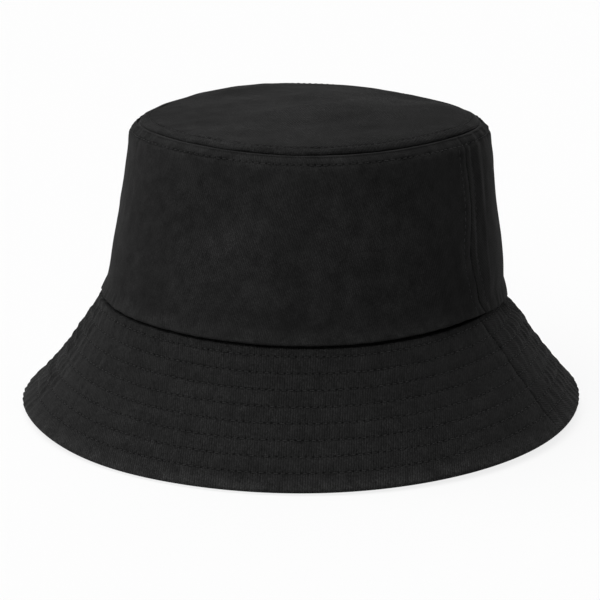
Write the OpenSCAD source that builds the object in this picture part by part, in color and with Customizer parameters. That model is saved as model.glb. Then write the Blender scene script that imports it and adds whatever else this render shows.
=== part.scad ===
/*
A sewn cotton bucket hat: an oval tip, a tapered crown side in two panels, and a
sloping brim of two plies over a stiffening layer, held by eight rows of stitching.

+Z is up and the hat faces -Y. The origin is under the hat's middle, on the surface
that the brim's rim rests on. Every sheet of cloth is built between an outer and an
inner face that share their stations around the head, so the plies nest.

Angles around the head start at the front and turn towards +X. Right and left are as
someone who faces the hat sees them, so that right is +X.
*/

/* [Head] */
// Length of the crown at the brim seam, front to back, outside
head_len = 204; // [186:1:222]
// Width of the crown at the brim seam, outside
head_wid = 176; // [162:1:190]
// Rise of the brim seam above its mean height at the front and back
seam_rise = 1; // [0:0.5:3]

/* [Crown] */
// Height of the crown side from the brim seam to the tip seam
crown_h = 77.5; // [62:0.5:95]
// Length of the tip panel, front to back
tip_len = 168; // [152:1:184]
// Width of the tip panel
tip_wid = 154; // [140:1:168]
// Outward belly of the crown side between its two seams
crown_belly = 0.6; // [0:0.1:4]
// Height of the roll that the crown side makes over the brim seam
hem_h = 9; // [6:0.5:14]
// How far that roll stands out over the brim seam
hem_roll = 1.4; // [0:0.1:3]
// How far the crown side turns in at the tip seam
shoulder_in = 1.4; // [0.4:0.1:2.4]
// Rise of the tip panel at its middle
tip_dome = 5; // [1:0.5:12]
// Rise of the tip panel's rounded edge
tip_roll = 2; // [0.5:0.5:5]

/* [Brim] */
// Width of the brim along its slope, from the crown seam to the rim
brim_w = 61.5; // [48:0.5:76]
// Slope of the brim below level at the crown seam, in degrees
brim_angle = 64; // [57:1:70]
// Slope of the brim below level at the rim, in degrees
rim_angle = 47; // [36:1:54]
// How much steeper than that the brim hangs at the front and back, in degrees
swing_angle = 4; // [0:1:8]
// Depth to which the rim is pressed flat where it rests
rim_flat = 0.5; // [0.2:0.1:1]

/* [Cloth] */
// Thickness of the hat's twill
twill_t = 0.9; // [0.6:0.1:1.4]
// Thickness of the stiffening layer inside the brim
stiffener_t = 0.8; // [0.4:0.1:1.6]
// Thickness of the bias tapes over the seams inside
tape_t = 0.5; // [0.3:0.1:0.9]
// Thickness of the sweatband
band_t = 0.8; // [0.5:0.1:1.4]
// Clearance between neighbouring plies
ply_gap = 0.1; // [0.08:0.01:0.2]

/* [Sweatband, tapes and label] */
// Height of the sweatband
band_h = 30; // [22:1:42]
// Width of the tapes over the side seams
tape_w = 12; // [8:1:16]
// Width of the blank label
label_w = 34; // [20:1:50]
// Height of the blank label
label_h = 16; // [10:1:20]
// Thickness of the blank label
label_t = 0.4; // [0.2:0.1:0.8]

/* [Stitching] */
// Thickness of the sewing thread as it lies on the cloth
thread_d = 0.6; // [0.4:0.1:0.9]
// Distance of the brim's first row of stitching from the crown seam
first_row = 4; // [3:0.5:8]
// Distance of the brim's last row of stitching from the rim
last_row = 8.5; // [5:0.5:12]
// Distance of the topstitching from the tip seam, on either side of it
tip_stitch = 5; // [3:0.5:7]
// Distance of the topstitching from the side seams, on either side of them
side_stitch = 5.5; // [3:0.5:8]
// Distance of the sweatband's stitching from its lower edge
band_stitch = 3; // [2:0.5:6]

/* [Hidden] */

// Stations around the head, bands of facets across the brim, and rows of stitching on it
stations = 72;
brim_bands = 5;
brim_rows = 8;
// Angles of the side seams
right_seam = 90;
left_seam = 270;

head_a = head_len / 2;
head_b = head_wid / 2;
tip_a = tip_len / 2;
tip_b = tip_wid / 2;
mean_r = (head_a + head_b) / 2;
row_pitch = (brim_w - first_row - last_row) / (brim_rows - 1);

// Depths below the brim's upper face
stiffener_d = twill_t + ply_gap;
under_d = stiffener_d + stiffener_t + ply_gap;
brim_t = under_d + twill_t;

// Depths below the crown's outer face
tape_d = twill_t + ply_gap;
band_d = tape_d + tape_t + ply_gap;
band_face = band_d + band_t;
label_d = band_face + ply_gap + mean_r * (1 - cos(180 / stations));

// The slope drops by this many degrees for each millimetre across the brim
slope_fall = (brim_angle - rim_angle) / brim_w;
seam_mean_z = brim_drop(0, brim_w) + brim_t * cos(slope_at(0, brim_w)) - seam_rise - rim_flat;
tip_z = seam_mean_z + crown_h;

twill = [0.14, 0.14, 0.15];
lining = [0.2, 0.2, 0.21];
felt = [0.75, 0.75, 0.72];
thread = [0.07, 0.07, 0.08];
label = [0.85, 0.85, 0.83];

// ---- Sheets: a grid of outer points and a grid of inner points, joined at the edges ----

function flat(grid) = [for (line = grid) for (p = line) p];
function quad(a, b, c, d) = [[a, b, c], [a, c, d]];

// Rows run upwards on the outer face, and stations turn from the front towards +X
module sheet(outer, inner, closed = false) {
    n = len(outer);
    m = len(outer[0]);
    spans = closed ? n : n - 1;
    function o(i, j) = (i % n) * m + j;
    function q(i, j) = n * m + o(i, j);
    top = m - 1;
    end = n - 1;
    skins = [for (i = [0 : spans - 1]) for (j = [0 : m - 2]) each concat(
        quad(o(i, j), o(i, j + 1), o(i + 1, j + 1), o(i + 1, j)),
        quad(q(i, j), q(i + 1, j), q(i + 1, j + 1), q(i, j + 1))
    )];
    rims = [for (i = [0 : spans - 1]) each concat(
        quad(o(i, 0), o(i + 1, 0), q(i + 1, 0), q(i, 0)),
        quad(o(i + 1, top), o(i, top), q(i, top), q(i + 1, top))
    )];
    caps = closed ? [] : [for (j = [0 : m - 2]) each concat(
        quad(o(0, j + 1), o(0, j), q(0, j), q(0, j + 1)),
        quad(o(end, j), o(end, j + 1), q(end, j + 1), q(end, j))
    )];
    polyhedron(points = concat(flat(outer), flat(inner)), faces = concat(skins, rims, caps));
}

// A thread lying on a face: it follows a line of [foot, foot, crest] sections
module laid_thread(sections, closed = false) {
    n = len(sections);
    spans = closed ? n : n - 1;
    function v(i, k) = (i % n) * 3 + k % 3;
    sides = [for (i = [0 : spans - 1]) for (k = [0 : 2]) each
        quad(v(i, k), v(i, k + 1), v(i + 1, k + 1), v(i + 1, k))];
    ends = closed ? [] : [[v(0, 2), v(0, 1), v(0, 0)], [v(n - 1, 0), v(n - 1, 1), v(n - 1, 2)]];
    polyhedron(points = flat(sections), faces = concat(sides, ends));
}

// Station angles of a whole ring, and of one panel with half a ply gap at each seam
function ring() = [for (i = [0 : stations - 1]) i * 360 / stations];
function panel(mid) =
    let (inset = ply_gap / 2 / mean_r * 180 / PI, half = stations / 2)
    [for (i = [0 : half]) mid - 90 + inset + i * (180 - 2 * inset) / half];
function patch(mid, width, steps) =
    let (half = width / 2 / mean_r * 180 / PI)
    [for (i = [0 : steps]) mid - half + i * 2 * half / steps];

// ---- The head's oval ----

function out_dir(th) =
    let (v = [sin(th) / head_b, -cos(th) / head_a]) [v.x, v.y, 0] / norm(v);
function seam_z(th) = seam_mean_z + seam_rise * cos(2 * th);

// ---- Crown side: h is the height above the brim seam, d the depth below the outer face ----

function hem(h) = h < hem_h ? hem_roll * sin(180 * h / hem_h) : 0;
function shoulder(h) = shoulder_in * pow(max(0, 1 - (crown_h - h) / tip_stitch), 2);
function crown_at(th, h, d, rolled = true) =
    let (
        t = h / crown_h,
        swell = crown_belly * 4 * t * (1 - t) - shoulder(h) + (rolled ? hem(h) : 0),
        a = head_a + (tip_a + shoulder_in - head_a) * t,
        b = head_b + (tip_b + shoulder_in - head_b) * t
    )
    [b * sin(th), -a * cos(th), seam_z(th) + (tip_z - seam_z(th)) * t]
        + (swell - d) * out_dir(th);

// Heights of the side's rows; the sweatband's top edge and the tapes share them
crown_rows = [0, hem_h / 4, hem_h / 2, hem_h, band_h, (band_h + crown_h - tip_stitch) / 2,
    crown_h - tip_stitch, crown_h - tip_stitch / 2, crown_h];
// Rows of what runs up a side seam, from the hem's roll to just under the tip's topstitching
side_rows = [hem_h / 4, hem_h / 2, hem_h, band_h, (band_h + crown_h - tip_stitch) / 2,
    crown_h - tip_stitch - thread_d];

module crown_sheet(angles, rows, depth, thickness) {
    sheet(
        [for (th = angles) [for (h = rows) crown_at(th, h, depth)]],
        [for (th = angles) [for (h = rows) crown_at(th, h, depth + thickness)]]
    );
}

// The sweatband stands straight between its edges, and so does everything sewn to it
function band_at(th, h, d) =
    let (f = h / band_h)
    crown_at(th, 0, d, false) * (1 - f) + crown_at(th, band_h, d, false) * f;
module band_sheet(angles, low, high, depth, thickness, closed = false) {
    sheet(
        [for (th = angles) [band_at(th, low, depth), band_at(th, high, depth)]],
        [for (th = angles) [
            band_at(th, low, depth + thickness),
            band_at(th, high, depth + thickness)
        ]],
        closed
    );
}

// ---- Tip: w is the distance in from the tip's edge, z the height above its under face ----

function tip_rise(w) =
    let (share = 1 - w / tip_b)
    tip_dome * (1 - share * share) + tip_roll * (1 - exp(-w / tip_stitch * 1.2));
function tip_at(th, w, z) =
    let (share = 1 - w / tip_b)
    [tip_b * share * sin(th), -tip_a * share * cos(th), tip_z + ply_gap + tip_rise(w) + z];
tip_rows = [0, tip_stitch / 2, tip_stitch, 2.4 * tip_stitch, tip_b * 0.4, tip_b * 0.7];

// ---- Brim: s is the distance from the crown seam down the slope, d the depth ----

function slope_at(th, s) = brim_angle + swing_angle * cos(2 * th) - slope_fall * s;
function brim_run(th, s) =
    (sin(slope_at(th, 0)) - sin(slope_at(th, s))) / (slope_fall * PI / 180);
function brim_drop(th, s) =
    (cos(slope_at(th, s)) - cos(slope_at(th, 0))) / (slope_fall * PI / 180);
function brim_curve(th, s, d) =
    let (slope = slope_at(th, s), out = out_dir(th))
    [head_b * sin(th), -head_a * cos(th), seam_z(th) - brim_drop(th, s) - d * cos(slope)]
        + (brim_run(th, s) - d * sin(slope)) * out;

// The facets run straight between their rows, and so does everything laid on them
function brim_at(th, s, d) =
    let (
        step = brim_w / brim_bands,
        i = min(floor(s / step), brim_bands - 1),
        f = s / step - i
    )
    brim_curve(th, i * step, d) * (1 - f) + brim_curve(th, (i + 1) * step, d) * f;
function rested(p) = [p.x, p.y, max(p.z, 0)];
function brim_rows_to(edge) =
    concat([edge], [for (i = [brim_bands - 1 : -1 : 0]) max(i * brim_w / brim_bands, ply_gap)]);

module brim_sheet(angles, edge, depth, thickness) {
    rows = brim_rows_to(edge);
    sheet(
        [for (th = angles) [for (s = rows) rested(brim_at(th, s, depth))]],
        [for (th = angles) [for (s = rows) rested(brim_at(th, s, depth + thickness))]]
    );
}

// ---- Sub-parts ----

module crown_tip() {
    n = stations;
    m = len(tip_rows);
    under = n * m + 1;
    function o(i, j) = (i % n) * m + j;
    function q(i, j) = under + o(i, j);
    bands = [for (i = [0 : n - 1]) for (j = [0 : m - 2]) each concat(
        quad(o(i, j), o(i, j + 1), o(i + 1, j + 1), o(i + 1, j)),
        quad(q(i, j), q(i + 1, j), q(i + 1, j + 1), q(i, j + 1))
    )];
    middle = [for (i = [0 : n - 1]) each [
        [o(i, m - 1), n * m, o(i + 1, m - 1)],
        [q(i, m - 1), q(i + 1, m - 1), under + n * m]
    ]];
    edge = [for (i = [0 : n - 1]) each quad(o(i, 0), o(i + 1, 0), q(i + 1, 0), q(i, 0))];
    color(twill) polyhedron(
        points = [for (z = [twill_t, 0]) each concat(
            [for (th = ring()) each [for (w = tip_rows) tip_at(th, w, z)]],
            [tip_at(0, tip_b, z)]
        )],
        faces = concat(bands, middle, edge)
    );
}

module crown_side(mid) {
    color(twill) crown_sheet(panel(mid), crown_rows, 0, twill_t);
}

// The upper ply turns down over the rim and covers the edges of the plies below it
module brim_top(mid) {
    inner_edge = brim_w - twill_t;
    rows = [for (i = [brim_bands - 1 : -1 : 0]) max(i * brim_w / brim_bands, ply_gap)];
    function foot(th) = rested(brim_at(th, brim_w, brim_t));
    function inner_foot(th) = let (p = brim_at(th, inner_edge, brim_t)) [p.x, p.y, foot(th).z];
    color(twill) sheet(
        [for (th = panel(mid)) concat(
            [foot(th), rested(brim_at(th, brim_w, 0))],
            [for (s = rows) brim_at(th, s, 0)]
        )],
        [for (th = panel(mid)) concat(
            [inner_foot(th), rested(brim_at(th, inner_edge, twill_t))],
            [for (s = rows) brim_at(th, s, twill_t)]
        )]
    );
}

module brim_stiffener(mid) {
    color(felt) brim_sheet(panel(mid), brim_w - twill_t - ply_gap, stiffener_d, stiffener_t);
}

module brim_under(mid) {
    color(twill) brim_sheet(panel(mid), brim_w - twill_t - ply_gap, under_d, twill_t);
}

module sweatband() {
    color(lining) band_sheet(ring(), ply_gap, band_h, band_d, band_t, closed = true);
}

// Bends over the tip seam, from the inside of the crown side to the underside of the tip
module tip_seam_tape() {
    wall_rows = [crown_h - tip_stitch, crown_h - tip_stitch / 2];
    under_rows = [tip_stitch / 2, tip_stitch];
    function corner(th, d) =
        let (p = crown_at(th, crown_h, d)) [p.x, p.y, tip_z - d + twill_t];
    function strip(th, d) = concat(
        [for (h = wall_rows) crown_at(th, h, d)],
        [corner(th, d)],
        [for (w = under_rows) tip_at(th, w, twill_t - d)]
    );
    color(lining) sheet(
        [for (th = ring()) strip(th, tape_d)],
        [for (th = ring()) strip(th, tape_d + tape_t)],
        closed = true
    );
}

module side_seam_tape(mid) {
    color(lining) crown_sheet(patch(mid, tape_w, 2), side_rows, tape_d, tape_t);
}

// Sewn flat to the inside of the sweatband at the back of the head
module blank_label() {
    low = (band_h - label_h) / 2;
    color(label) band_sheet(patch(180, label_w, 6), low, low + label_h, label_d, label_t);
}

// ---- Stitching ----

function thread_on_crown(th, h) = [
    crown_at(th, h - thread_d / 2, -ply_gap),
    crown_at(th, h + thread_d / 2, -ply_gap),
    crown_at(th, h, -ply_gap - thread_d)
];

module tip_topstitch() {
    lift = twill_t + ply_gap;
    color(thread) laid_thread([for (th = ring()) [
        tip_at(th, tip_stitch - thread_d / 2, lift),
        tip_at(th, tip_stitch + thread_d / 2, lift),
        tip_at(th, tip_stitch, lift + thread_d)
    ]], closed = true);
}

module crown_topstitch() {
    color(thread)
        laid_thread([for (th = ring()) thread_on_crown(th, crown_h - tip_stitch)], closed = true);
}

// Two lines, one on either side of the seam
module side_topstitch(mid) {
    half = thread_d / 2 / mean_r * 180 / PI;
    color(thread) for (side = [-1, 1]) {
        th = mid + side * side_stitch / mean_r * 180 / PI;
        laid_thread([for (h = side_rows) [
            crown_at(th + half, h, -ply_gap),
            crown_at(th - half, h, -ply_gap),
            crown_at(th, h, -ply_gap - thread_d)
        ]]);
    }
}

module sweatband_stitch() {
    d = band_face + ply_gap;
    color(thread) laid_thread([for (th = ring()) [
        band_at(th, band_stitch + thread_d / 2, d),
        band_at(th, band_stitch - thread_d / 2, d),
        band_at(th, band_stitch, d + thread_d)
    ]], closed = true);
}

module brim_stitch_row(row) {
    s = first_row + (row - 1) * row_pitch;
    color(thread) laid_thread([for (th = ring()) [
        brim_at(th, s + thread_d / 2, -ply_gap),
        brim_at(th, s - thread_d / 2, -ply_gap),
        brim_at(th, s, -ply_gap - thread_d)
    ]], closed = true);
}

crown_tip();
crown_side(0);  // crown_side_front
crown_side(180);  // crown_side_back
brim_top(0);  // brim_top_front
brim_top(180);  // brim_top_back
brim_under(0);  // brim_under_front
brim_under(180);  // brim_under_back
brim_stiffener(0);  // brim_stiffener_front
brim_stiffener(180);  // brim_stiffener_back
sweatband();
tip_seam_tape();
side_seam_tape(left_seam);  // side_seam_tape_left
side_seam_tape(right_seam);  // side_seam_tape_right
blank_label();
tip_topstitch();
crown_topstitch();
side_topstitch(left_seam);  // side_topstitch_left
side_topstitch(right_seam);  // side_topstitch_right
sweatband_stitch();
brim_stitch_row(1);  // brim_stitch_row_1
brim_stitch_row(2);  // brim_stitch_row_2
brim_stitch_row(3);  // brim_stitch_row_3
brim_stitch_row(4);  // brim_stitch_row_4
brim_stitch_row(5);  // brim_stitch_row_5
brim_stitch_row(6);  // brim_stitch_row_6
brim_stitch_row(7);  // brim_stitch_row_7
brim_stitch_row(8);  // brim_stitch_row_8
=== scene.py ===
import math

import bpy
import numpy as np
from mathutils import Matrix


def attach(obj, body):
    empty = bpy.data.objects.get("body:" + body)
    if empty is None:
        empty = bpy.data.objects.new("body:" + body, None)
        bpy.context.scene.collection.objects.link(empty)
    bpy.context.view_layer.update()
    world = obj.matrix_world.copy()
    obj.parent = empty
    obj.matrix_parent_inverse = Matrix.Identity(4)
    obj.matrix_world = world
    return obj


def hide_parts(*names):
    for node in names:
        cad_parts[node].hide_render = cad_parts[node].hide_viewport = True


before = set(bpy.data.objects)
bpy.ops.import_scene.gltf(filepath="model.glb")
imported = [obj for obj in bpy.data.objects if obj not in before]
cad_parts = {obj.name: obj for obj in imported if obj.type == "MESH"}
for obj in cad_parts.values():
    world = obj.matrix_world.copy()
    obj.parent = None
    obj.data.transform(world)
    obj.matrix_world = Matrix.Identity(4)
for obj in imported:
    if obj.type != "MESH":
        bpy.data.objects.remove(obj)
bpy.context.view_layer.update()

scene = bpy.context.scene

# Lengths are in millimetres. Angles run round the head in radians, from the front towards +X.
MM = 0.001
TAU = 2 * math.pi

HEAD_A = 102.0  # half the length of the oval at the crown's hem
HEAD_B = 88.0  # half its width
HEAD_R = 95.0  # its mean radius
BRIM_R = 115.0  # mean radius of the brim
TIP_A = 82.5  # half the length of the oval at the tip seam
TIP_B = 75.2  # half its width
TIP_R = 80.0  # its mean radius
SEAM_Z = 52.5  # mean height of the brim seam, before the hat is set down
TIP_Z = 130.9  # mean height of the tip seam
TIP_MIDDLE_Z = 131.5  # height of the tip's middle without its dome
TIP_RISE = 2.9  # rise of the dome above that

CROWN_H = 77.5  # height of the crown's side from seam to seam
CROWN_TOP = 76.0  # where the side's upper edge folds over
CROWN_ROW = 72.8  # where the stitching below it runs
SHOULDER = 3.1  # how far the upper edge rounds inwards
SHOULDER_H = 5.5  # and over what height
BRIM_W = 61.5  # width of the brim down its slope
BRIM_T = 2.8  # its thickness in all
BRIM_SLOPE = 55.5  # its mean angle below the level in degrees
SLOPE_AT = 30.0  # how far down the brim it has that angle
ROWS = 8  # rows of stitching on the brim
FIRST = 4.1  # distance of the first row from the seam
PITCH = 6.98  # distance from row to row
LAST = FIRST + (ROWS - 1) * PITCH
TIP_STITCH = 4.8  # distance of the tip's stitching from its seam
SIDE_STITCH = 5.5  # distance of the stitching beside a side seam

TWILL = 0.9  # thickness of the outer cloth
FOLD_R = 0.6  # radius of the folds at the crown's upper edge and the tip's edge
EDGE_AT = 1.5  # where the tip's edge rolls under, in from its seam
BAND_H = 30.0  # height of the sweatband
BAND_D = 1.6  # its depth below the crown's outside
BAND_T = 0.8  # its thickness
BAND_ROW = 3.0  # height of its stitching
TAPE_D = 1.0  # depth of the seam tapes below the crown's outside
TAPE_T = 0.5  # their thickness
FELT_D = 1.05  # depth of the felt below the brim's upper face
FELT_T = 0.7  # its thickness
LABEL_H, LABEL_W, LABEL_T = 16.0, 34.0, 0.35
LABEL_D = 2.55  # depth of the label's back below the crown's outside
STITCH = 3.0  # distance from needle hole to needle hole
THREAD_RUN = 1.9  # length of thread that shows in between

RIGHT_SEAM = 88.0  # the crown's right seam, in degrees; the left one mirrors it
LIFTED_AT = -47.0  # where the hem stands off the brim at the left, in degrees
PUCKERS_AT = -64.0  # the left of the two opposite places where the brim puckers most, in degrees
PUCKER_AXIS = math.radians(PUCKERS_AT + 90)
CROWN_SEAMS = (math.radians(RIGHT_SEAM), math.radians(360 - RIGHT_SEAM))
BRIM_SEAMS = (math.pi / 2, 3 * math.pi / 2)


# ---- Noise and easing ----

LATTICE = 512
UNIT_SPREAD = 2.1  # undoes the spline's blur


def ease(low, high, x):
    """0 up to low, 1 from high on, and a smooth step between them."""
    f = np.clip((x - low) / (high - low), 0, 1)
    return f * f * (3 - 2 * f)


def hump(x, at, wide):
    """1 where x has this value, fading within about this width."""
    return np.exp(-(((x - at) / wide) ** 2))


def near(th, at, wide):
    """1 at one place round the head, fading within this many degrees."""
    return hump((np.degrees(th) - at + 180) % 360 - 180, 0, wide)


def spline(f):
    """Weights of the four lattice points about a place that is f of a cell past the second."""
    return (
        (1 - f) ** 3 / 6,
        (3 * f**3 - 6 * f**2 + 4) / 6,
        (-3 * f**3 + 3 * f**2 + 3 * f + 1) / 6,
        f**3 / 6,
    )


def noise(u, v, cell_u, cell_v, seed, around=0.0):
    """Smooth noise of about unit spread. With around, it meets itself after that length in u."""
    u, v = np.broadcast_arrays(np.asarray(u, float), np.asarray(v, float))
    columns = max(4, round(around / cell_u)) if around else LATTICE
    x = u / around * columns if around else u / cell_u
    y = v / cell_v
    lattice = np.random.default_rng(seed).standard_normal((columns, LATTICE))
    i, j = np.floor(x).astype(int), np.floor(y).astype(int)
    total = np.zeros(x.shape)
    for a, across in enumerate(spline(x - i)):
        for b, along in enumerate(spline(y - j)):
            total += across * along * lattice[(i + a - 1) % columns, (j + b - 1) % LATTICE]
    return total * UNIT_SPREAD


# ---- The hat's lines ----


def swing(th, c1, s1, c2, s2, c3=0, s3=0):
    """Slow change round the head, from the size of its first three waves."""
    wave = c1 * np.cos(th) + s1 * np.sin(th) + c2 * np.cos(2 * th) + s2 * np.sin(2 * th)
    return wave + c3 * np.cos(3 * th) + s3 * np.sin(3 * th)


def seam_z(th):
    """Height of the brim seam."""
    return SEAM_Z + swing(th, -0.74, 1.29, 1.14, -1.69)


def tip_z(th):
    """Height of the tip seam, with a fuller shoulder at the left and behind the right seam."""
    shoulders = 1.1 * near(th, -109, 27) + near(th, 152, 32)
    return TIP_Z + swing(th, -0.88, -0.33, -0.05, 0.64, 0.19, -1.28) + shoulders


def curl(th):
    """How much less steep the brim is at its rim than at its seam, in degrees."""
    return 18.8 + swing(th, -2.1, -0.3, 3.8, -4.0)


def slope(th, s):
    """The brim's angle below the level, s down from its seam."""
    middle = BRIM_SLOPE + swing(th, -1.23, -0.85, 2.72, 0.6, 0.49, -0.06)
    return np.radians(middle - curl(th) / BRIM_W * (s - SLOPE_AT))


def brim_w(th):
    """Width of the brim, which is a little uneven."""
    bumps = 3.1 * near(th, -70, 23) + 0.85 * near(th, -12, 18) + 0.6 * near(th, RIGHT_SEAM, 22)
    return BRIM_W - 1.1 + swing(th, 1.0, 0.86, -0.53, -0.75) + bumps


def belly(th):
    """How far the crown's side swells outwards at half its height."""
    return 0.42 + swing(th, 0.08, 0.65, -0.76, 0.85)


def out_dir(th):
    """Level direction outwards, square to the head's oval."""
    x, y = np.sin(th) / HEAD_B, -np.cos(th) / HEAD_A
    size = np.hypot(x, y)
    return np.stack([x / size, y / size, 0 * x], -1)


def pucker_share(th):
    """1 at the two opposite places where the stitching gathers the cloth most."""
    wider = 0.04 * near(th, PUCKERS_AT, 60)
    return ease(0.9 - wider, 0.985 - wider, np.abs(np.sin(th - PUCKER_AXIS)))


def from_seam(th, seams, jog=0.0):
    """Distance round the head to the nearer of two seams, + towards the back of the right one."""
    d = np.stack([(th - side + math.pi) % TAU - math.pi for side in seams])
    return np.take_along_axis(d, np.abs(d).argmin(0)[None], 0)[0] * HEAD_R - jog


def droop(th):
    """How far the crown's hem hangs over the brim, behind the right seam."""
    turn = np.degrees(th) % 360
    return 6.3 * ease(80, 122, turn) * (1 - ease(150, 200, turn))


def hem_lift(th):
    """The hem stands off the brim a little more in front of the right seam and at the left."""
    return 0.8 * near(th, 66, 20) + 0.8 * near(th, LIFTED_AT, 22) - 0.03


def crown_at(th, h, off, lift=0.0):
    """The crown's side h up from the brim seam, then moved outwards by off and upwards by lift."""
    t = h / CROWN_H
    a = HEAD_A + (TIP_A + SHOULDER - HEAD_A) * t
    b = HEAD_B + (TIP_B + SHOULDER - HEAD_B) * t
    lift = lift + hem_lift(th) * np.exp(-h / 5) - droop(th) * np.exp(-h / 14)
    rounded = np.maximum(0, 1 - (CROWN_TOP - h) / SHOULDER_H) ** 1.7
    swell = belly(th) * 4 * t * (1 - t) - SHOULDER * rounded + 0.05 * droop(th) * np.exp(-h / 7)
    z = seam_z(th) + (tip_z(th) - seam_z(th)) * t + lift
    base = np.stack([b * np.sin(th), -a * np.cos(th), z], -1)
    return base + (swell + off)[..., None] * out_dir(th)


def brim_at(th, s, off):
    """The brim s down its slope and off outwards; near the seam it sinks under the crown's hem."""
    off = off - 2.0 * (1 - ease(0.0, 1.0, s)) * ease(-3, -1, s)
    # It sinks further where the hem droops, and less where the hem is lifted
    off = off - 7.5 * near(th, 130, 28) * hump(s, 0, 11)
    off = off - 1.8 * near(th, 128, 28) * hump(s, 8.5, 5)
    off = off + 0.6 * near(th, LIFTED_AT, 20) * hump(s, 1, 4)
    fall = np.radians(curl(th) / BRIM_W)
    a0, a1 = slope(th, 0), slope(th, s)
    run = (np.sin(a0) - np.sin(a1)) / fall + off * np.sin(a1)
    drop = (np.cos(a1) - np.cos(a0)) / fall - off * np.cos(a1)
    base = np.stack([HEAD_B * np.sin(th), -HEAD_A * np.cos(th), seam_z(th) - drop], -1)
    return base + run[..., None] * out_dir(th)


def tip_at(th, w, off):
    """The tip w in from its seam, domed, with a steep first few millimetres."""
    share = 1 - w / TIP_B
    rise = TIP_RISE * (1 - share**2) - 0.2 - 2.7 * np.exp(-w / 2.1)
    z = TIP_MIDDLE_Z + (tip_z(th) - TIP_MIDDLE_Z) * share + rise + off
    return np.stack([TIP_B * share * np.sin(th), -TIP_A * share * np.cos(th), z], -1)


# The rim rests on the floor where it hangs lowest, pressed flat by this much there
RIM_FLAT = 1.15
ALL_ROUND = np.linspace(0, TAU, 361)
DOWN = brim_at(ALL_ROUND, brim_w(ALL_ROUND), -BRIM_T)[:, 2].min() + RIM_FLAT


def settle(points):
    """Sets the hat down on the floor."""
    points = points - np.array([0, 0, DOWN])
    points[..., 2] = np.maximum(points[..., 2], 0)
    return points


# ---- Relief of the sewn cloth, outwards from those lines ----


def seam_relief(d, h, seed, deep=1.1):
    """The dip where two panels meet, with the seam allowances pressed open beside it."""
    ragged = 0.88 + 0.2 * noise(h, 0 * h, 1.4, 9, seed)
    dip = deep * ragged * hump(d, 0, 0.36)
    bulk = (0.13 + 0.14 * noise(h, 0 * h, 4, 9, seed + 50)) * hump(np.abs(d), 3.1, 2.0)
    return bulk - dip - 0.12 * hump(np.abs(d), SIDE_STITCH, 0.6)


def crown_sway(h):
    """The side seams are not quite upright: their sideways shift at this height."""
    return 9.5 * np.exp(-h / 7) - 4.5 - 2.8 * hump(h, 28, 12)


def crown_relief(th, h):
    """Wrinkles of the crown's side."""

    def rough(cell_round, cell_up, seed):
        return noise(th * HEAD_R, h, cell_round, cell_up, seed, TAU * HEAD_R)

    top = CROWN_TOP - h
    row = CROWN_TOP - CROWN_ROW
    open_cloth = ease(2, 16, h) * ease(4, 14, top)
    r = (0.2 + 0.8 * open_cloth) * (0.42 * rough(27, 20, 11) + 0.15 * rough(10, 9, 12))
    r += 0.06 * rough(3.6, 4.2, 13)
    # The roll over the brim seam
    r += 1.4 * np.sin(math.pi * np.clip((h + 7) / 15, 0, 1)) ** 2
    r += 0.14 * rough(1.5, 12, 14) * hump(h, 2, 4)
    # The puckered band under the tip seam
    band = np.sin(math.pi * np.clip(top / row, 0, 1))
    side = ease(0.6, 0.95, np.abs(np.sin(th - math.radians(32))))
    r += band * (0.2 + (0.1 + 0.3 * side) * rough(2.8, 14, 15))
    r += band * 0.05 * rough(1.2, 14, 22)
    r -= 0.12 * hump(top, row, 0.6)
    below = np.exp(-np.maximum(top - row, 0) / 4) * (top > row)
    r += below * (0.1 * rough(1.6, 9, 16) + 0.2 * rough(7, 7, 19))
    # The side seams, with upright creases beside them
    d = from_seam(th, CROWN_SEAMS, crown_sway(h))
    creases = hump(np.abs(d), 9, 8) * ease(3, 14, h)
    r += creases * (0.13 * rough(2.2, 9, 17) + 0.3 * rough(5, 12, 21))
    r += seam_relief(d, h, 18) * ease(0, 3, h)
    return r


def brim_jog(s):
    """The brim's side seams bow a little: their sideways shift at this distance down."""
    return 1.1 - 5.8 * np.exp(-s / 14) - 0.6 * hump(s, 50.5, 2.5)


PUCKER_RIGHT = 6.6  # length of a pucker round the brim, on the right half
PUCKER_LEFT = 7.0  # and on the left


def brim_relief(th, s, under=False):
    """Quilting between the rows, with puckers across it that start afresh in every strip."""
    around = TAU * BRIM_R
    seed = 40 if under else 20
    k = (s - FIRST) / PITCH
    strip = s + 13 * np.floor(k)

    def rough(at, cell_round, cell_down, more):
        return noise(th * BRIM_R, at, cell_round, cell_down, seed + more, around)

    quilt = np.abs(np.sin(math.pi * k)) ** 0.8
    quilt = np.where(s < FIRST, 0.55 * np.abs(np.sin(math.pi * (FIRST - s) / 8)) ** 0.62, quilt)
    rim = np.clip((s - LAST) / 12.0, 0, 1)
    quilt = np.where(s > LAST, 0.7 * np.sin(math.pi * rim) ** 0.62, quilt)
    side = pucker_share(th)
    r = (0.3 + 0.12 * side) * quilt * (1 + 0.2 * rough(s, 14, 5, 0))
    drift = rough(strip, 13, 14, 1)
    waves = np.where(np.sin(th) > 0, round(around / PUCKER_RIGHT), round(around / PUCKER_LEFT))
    ripple = np.sin(waves * th + 1.1 * drift)
    size = 0.27 * side * (1 + 1.1 * near(th, PUCKERS_AT, 30))
    r += size * (ripple + 0.4 * ripple**2) * (1 + 0.3 * drift) * (0.1 + 0.9 * quilt)
    r += 0.06 * rough(strip, 1.6, 12, 5) * quilt
    r += 0.07 * rough(s, 1.9, 3.5, 2)
    r += 0.3 * rough(s, 30, 24, 3)
    d = from_seam(th, BRIM_SEAMS, brim_jog(s))
    r += seam_relief(d, s, seed + 4, 1.5) * ease(-1, 2, s)
    return r


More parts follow.
